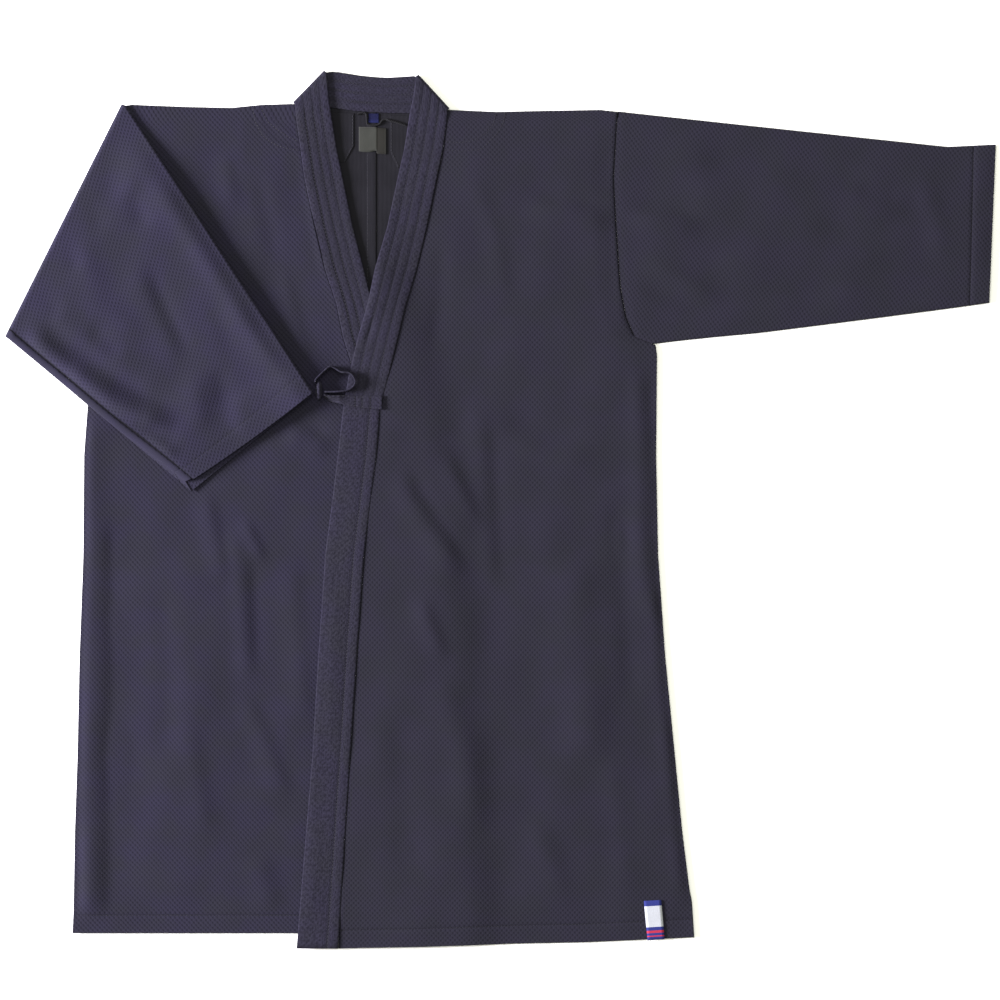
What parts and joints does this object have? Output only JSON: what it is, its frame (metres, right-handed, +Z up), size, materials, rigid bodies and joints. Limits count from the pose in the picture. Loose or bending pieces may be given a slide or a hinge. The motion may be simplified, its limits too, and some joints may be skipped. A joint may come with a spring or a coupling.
{
  "type": "kendo jacket",
  "caption": "Kendo jacket in diamond-textured navy jersey, laid flat with the left front over the right, tied in a bow, and the right sleeve folded over the front.",
  "frame": {"origin": "centre of the laid-out jacket's outline, on the surface that it lies on", "axes": "+X towards the wearer's left sleeve, +Y towards the collar, +Z up from the surface"},
  "size_m": [0.9898, 0.8775, 0.0194],
  "materials": {
    "jersey": "matt navy double-knit jersey with a small raised diamond texture",
    "band": "matt navy cotton-like twill, finer than the body, with rows of stitching",
    "blue_tag": "small woven blue tape, blank",
    "grey_label": "dark grey satin label, blank",
    "white_tag": "white woven tag with plain blue and red bands"
  },
  "bodies": {
    "root": {"body_right": "jersey", "body_left": "jersey", "sleeve_right": "jersey", "sleeve_left": "jersey", "neck_patch_right": "jersey", "neck_patch_left": "jersey", "collar": "band", "tie_left": "band", "tie_right": "band", "tie_knot": "band", "tie_bow": "band", "hanger_loop": "band", "size_tag": "blue_tag", "neck_label": "grey_label", "hem_tag": "white_tag"}
  },
  "joints": []
}
